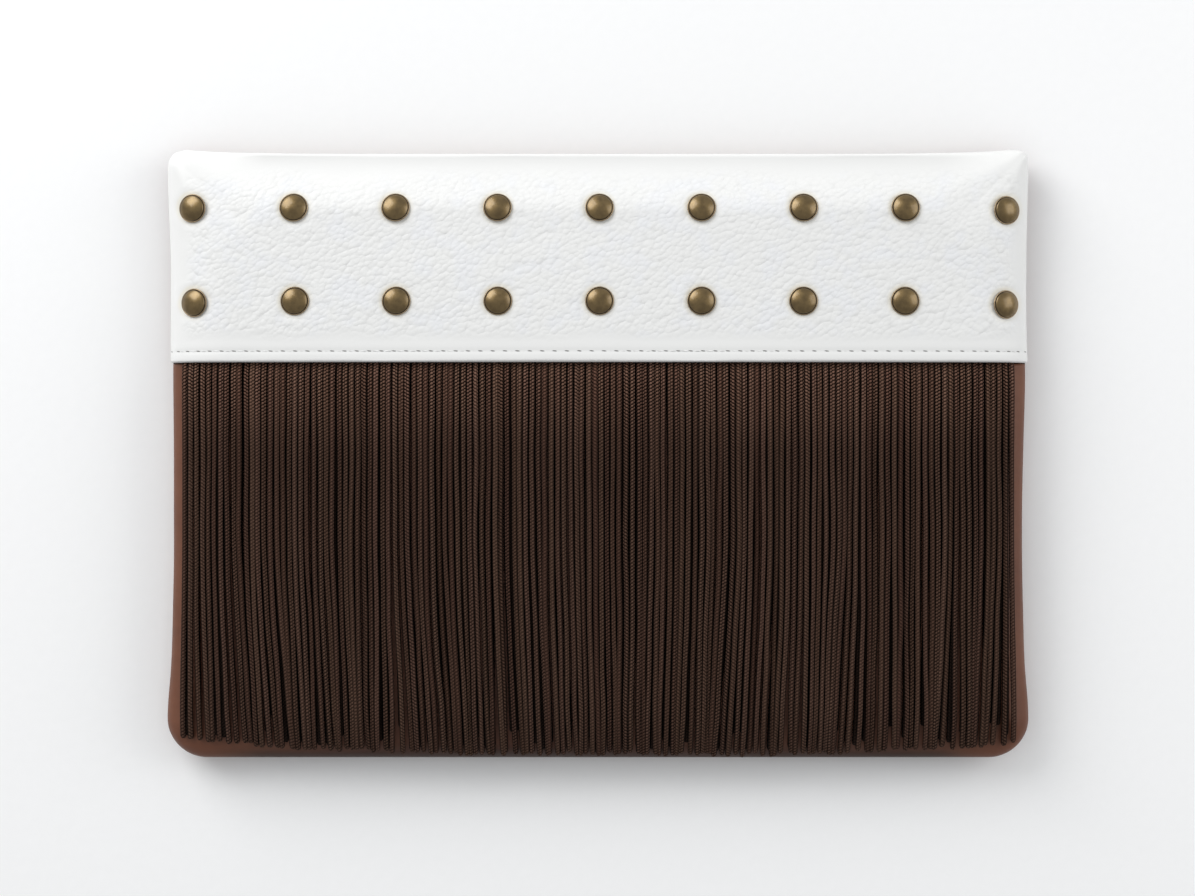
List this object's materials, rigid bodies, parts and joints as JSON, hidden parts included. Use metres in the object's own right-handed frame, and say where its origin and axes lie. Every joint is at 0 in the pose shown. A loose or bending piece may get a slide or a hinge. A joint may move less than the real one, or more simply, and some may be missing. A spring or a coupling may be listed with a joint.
{
  "type": "fringed bag",
  "caption": "Soft open-topped leather clutch bag with a pale riveted band across its front and a dark cord fringe hanging from the band's stitched hem",
  "frame": {"origin": "on the floor under the middle of the bag, which lies on its back", "axes": "+X across the bag to the right of its front, +Y towards its mouth, +Z out of its front"},
  "size_m": [0.2838, 0.2004, 0.0254],
  "materials": {
    "brown_leather": "smooth semi-matte reddish brown",
    "white_leather": "pebbled, satin white",
    "fringe_cord": "knitted dark brown cord",
    "antique_brass": "antique, satin",
    "snap_steel": "plain satin"
  },
  "bodies": {
    "root": {"back_panel": "brown_leather", "front_panel": "brown_leather", "top_band": "white_leather", "fringe": "fringe_cord", "snap": "snap_steel", "rivet_upper_1": "antique_brass", "rivet_upper_2": "antique_brass", "rivet_upper_3": "antique_brass", "rivet_upper_4": "antique_brass", "rivet_upper_5": "antique_brass", "rivet_upper_6": "antique_brass", "rivet_upper_7": "antique_brass", "rivet_upper_8": "antique_brass", "rivet_upper_9": "antique_brass", "rivet_lower_1": "antique_brass", "rivet_lower_2": "antique_brass", "rivet_lower_3": "antique_brass", "rivet_lower_4": "antique_brass", "rivet_lower_5": "antique_brass", "rivet_lower_6": "antique_brass", "rivet_lower_7": "antique_brass", "rivet_lower_8": "antique_brass", "rivet_lower_9": "antique_brass"}
  },
  "joints": []
}
